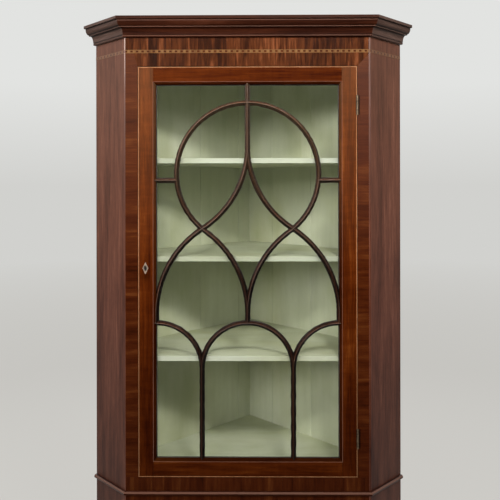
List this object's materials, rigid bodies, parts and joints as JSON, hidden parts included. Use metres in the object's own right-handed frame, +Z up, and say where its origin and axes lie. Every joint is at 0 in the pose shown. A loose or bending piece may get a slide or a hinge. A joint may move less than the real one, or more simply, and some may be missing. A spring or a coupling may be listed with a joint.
{
  "type": "corner cupboard",
  "caption": "Two-stage corner cupboard with canted sides, a glazed door with curved glazing bars over shelves, a plain door below, a moulded cornice and a plinth.",
  "frame": {"origin": "on the floor, under the middle of the whole cupboard's box", "axes": "+Z up, +Y towards the corner of the room, -Y out of the front, +X to the right as one faces the cupboard"},
  "size_m": [0.9774, 0.61, 2.0524],
  "materials": {
    "mahogany": "polished",
    "crossbanding": "polished, crossbanded and strung with boxwood",
    "cant_mahogany": "polished",
    "moulding": "polished, dark in the hollows",
    "glazing_bar": "polished",
    "green_paint": "softwood painted a pale sage green, eggshell",
    "secondary_wood": "unpainted softwood",
    "glass": "clear",
    "brass": "dull",
    "iron": "dull",
    "bone": "polished bone"
  },
  "bodies": {
    "carcass": {"upper_back_left": "green_paint", "upper_side_left": "cant_mahogany", "upper_stile_left": "crossbanding", "upper_back_right": "green_paint", "upper_side_right": "cant_mahogany", "upper_stile_right": "crossbanding", "lower_back_left": "secondary_wood", "lower_side_left": "cant_mahogany", "lower_stile_left": "crossbanding", "lower_back_right": "secondary_wood", "lower_side_right": "cant_mahogany", "lower_stile_right": "crossbanding", "frieze_rail": "crossbanding", "upper_bottom_rail": "crossbanding", "upper_top_board": "green_paint", "upper_shelf_1": "green_paint", "upper_shelf_2": "green_paint", "upper_shelf_3": "green_paint", "upper_base_board": "green_paint", "lower_top_rail": "crossbanding", "lower_bottom_rail": "crossbanding", "lower_top_board": "secondary_wood", "lower_shelf": "secondary_wood", "lower_base_board": "secondary_wood", "cornice_front": "moulding", "cornice_left": "moulding", "cornice_right": "moulding", "waist_bead_front": "moulding", "waist_bead_left": "moulding", "waist_bead_right": "moulding", "plinth_front": "moulding", "plinth_left": "moulding", "plinth_right": "moulding", "glazed_door_hinge_top_frame_leaf": "brass", "glazed_door_hinge_bottom_frame_leaf": "brass", "lower_door_hinge_top_frame_leaf": "brass", "lower_door_hinge_bottom_frame_leaf": "brass"},
    "glazed_door": {"glazed_door_lock_stile": "mahogany", "glazed_door_hinge_stile": "brass", "glazed_door_top_rail": "mahogany", "glazed_door_bottom_rail": "mahogany", "glazing_bar_top_stem": "glazing_bar", "glazing_bar_balloon": "glazing_bar", "glazing_bar_leg_left": "glazing_bar", "glazing_bar_leg_right": "glazing_bar", "glazing_bar_stub_left": "glazing_bar", "glazing_bar_stub_right": "glazing_bar", "glazing_bar_arcade": "glazing_bar", "glazed_door_glass": "glass", "glazed_door_hinge_top_door_leaf": "brass", "glazed_door_hinge_bottom_door_leaf": "brass", "glazed_door_lock_case": "iron", "glazed_door_escutcheon": "bone"},
    "glazed_door_lock_bolt": {"glazed_door_lock_bolt": "brass"},
    "lower_door": {"lower_door_panel": "mahogany", "lower_door_hinge_top_door_leaf": "brass", "lower_door_hinge_bottom_door_leaf": "brass", "lower_door_lock_case": "iron", "lower_door_escutcheon": "bone"},
    "lower_door_lock_bolt": {"lower_door_lock_bolt": "brass"}
  },
  "joints": [
    {"name": "glazed_door_hinge", "type": "hinge", "parent": "carcass", "child": "glazed_door", "pos_m": [0.3126, -0.26456, 1.3306], "axis": [0, 0, 1], "range_deg": [0, 170]},
    {"name": "glazed_door_bolt_slide", "type": "slide", "parent": "glazed_door", "child": "glazed_door_lock_bolt", "axis": [-1, 0, 0], "range_m": [0, 0.0075]},
    {"name": "lower_door_hinge", "type": "hinge", "parent": "carcass", "child": "lower_door", "pos_m": [0.3126, -0.26456, 0.3923], "axis": [0, 0, 1], "range_deg": [0, 170]},
    {"name": "lower_door_bolt_slide", "type": "slide", "parent": "lower_door", "child": "lower_door_lock_bolt", "axis": [-1, 0, 0], "range_m": [0, 0.0075]}
  ]
}
